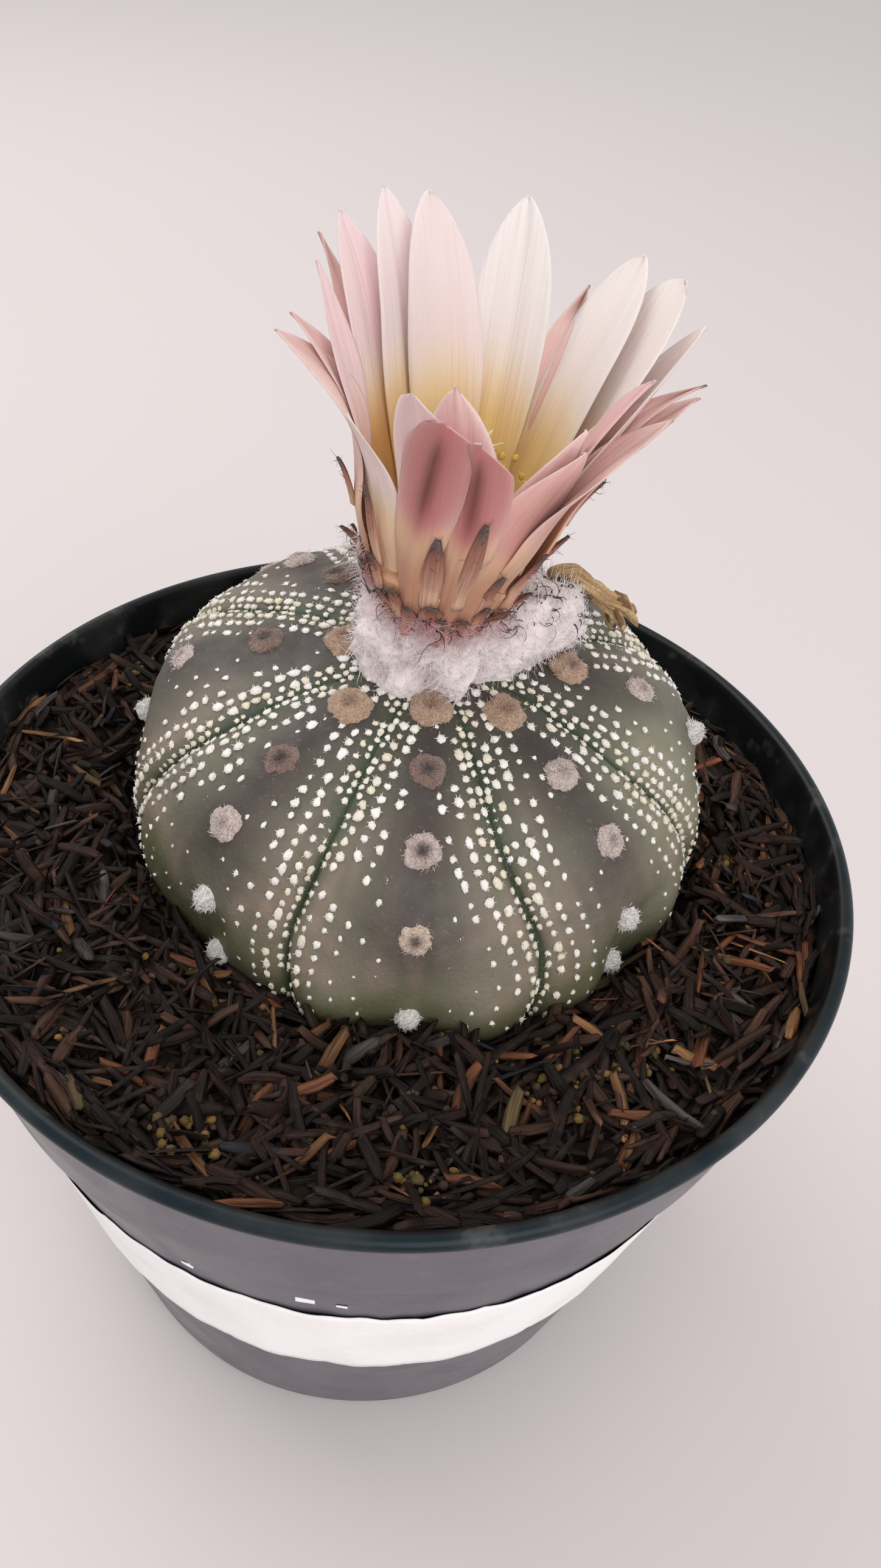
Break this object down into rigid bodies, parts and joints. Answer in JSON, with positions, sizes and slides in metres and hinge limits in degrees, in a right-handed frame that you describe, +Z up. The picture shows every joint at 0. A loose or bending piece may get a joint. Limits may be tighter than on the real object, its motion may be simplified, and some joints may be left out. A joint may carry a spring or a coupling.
{
  "type": "potted star cactus in flower",
  "caption": "Squat ribbed star cactus with white flecks, woolly crown and a pale pink flower, in a dark plastic nursery pot of husk mix with a blank paper band.",
  "frame": {"origin": "on the ground under the middle of the pot's base", "axes": "+Z up along the pot, -Y the front of the plant, +X to the right"},
  "size_m": [0.15, 0.15, 0.1982],
  "materials": {
    "pot_plastic": "satin moulded plastic, dark blue-green",
    "label_paper": "matt white paper, slightly crumpled and worn",
    "husk_mix": "dry dark brown rice husks",
    "cactus_skin": "grey-green waxy skin with white felt flecks",
    "white_wool": "cotton-like plant wool",
    "flower_tube_skin": "soft peach skin with dark bristly scales",
    "rose_tepal": "silky dusty rose petal",
    "pale_tepal": "silky pale pink petal with a yellow foot",
    "stamen_yellow": "powdery yellow",
    "stigma_cream": "matt cream",
    "dry_straw": "dry papery straw"
  },
  "bodies": {
    "root": {"pot": "pot_plastic", "paper_band": "label_paper", "soil": "husk_mix", "cactus_body": "cactus_skin", "wool_crown": "white_wool", "flower_tube": "flower_tube_skin", "flower_outer_tepals": "rose_tepal", "flower_inner_tepals": "pale_tepal", "flower_stamens": "stamen_yellow", "flower_style": "stigma_cream", "withered_flower": "dry_straw"}
  },
  "joints": []
}
